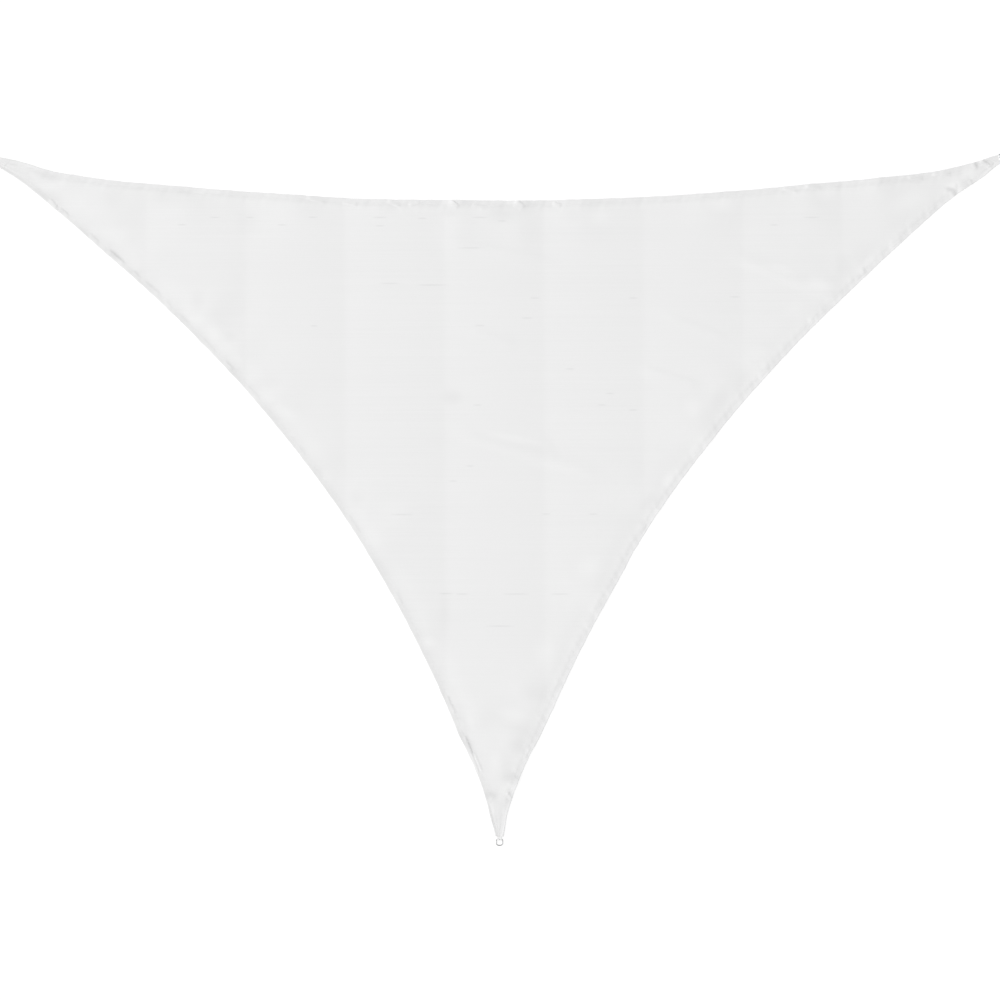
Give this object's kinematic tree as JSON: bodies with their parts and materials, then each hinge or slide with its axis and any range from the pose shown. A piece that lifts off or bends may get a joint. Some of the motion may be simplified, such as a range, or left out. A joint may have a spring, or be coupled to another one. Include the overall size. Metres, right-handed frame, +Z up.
{
  "type": "triangular shade sail",
  "caption": "Large triangular knitted shade sail with concave hemmed edges and a steel D-ring on webbing straps at each corner, lying flat.",
  "frame": {"origin": "middle of the part's bounding box, on the surface that it lies on", "axes": "+X along the long edge from the left corner to the right one, +Y from the lower corner towards the long edge, +Z up, out of the sail's face"},
  "size_m": [5.956, 4.0444, 0.0124],
  "materials": {
    "cloth": "matt off-white knitted polyethylene shade cloth with a fine horizontal rib",
    "webbing": "white woven polyester webbing",
    "steel": "satin stainless steel wire"
  },
  "bodies": {
    "root": {"sail_cloth": "cloth", "strap_left_wide": "webbing", "strap_left_narrow": "webbing", "ring_left": "steel", "strap_right_wide": "webbing", "strap_right_narrow": "webbing", "ring_right": "steel", "strap_lower_wide": "webbing", "strap_lower_narrow": "webbing", "ring_lower": "steel"}
  },
  "joints": []
}
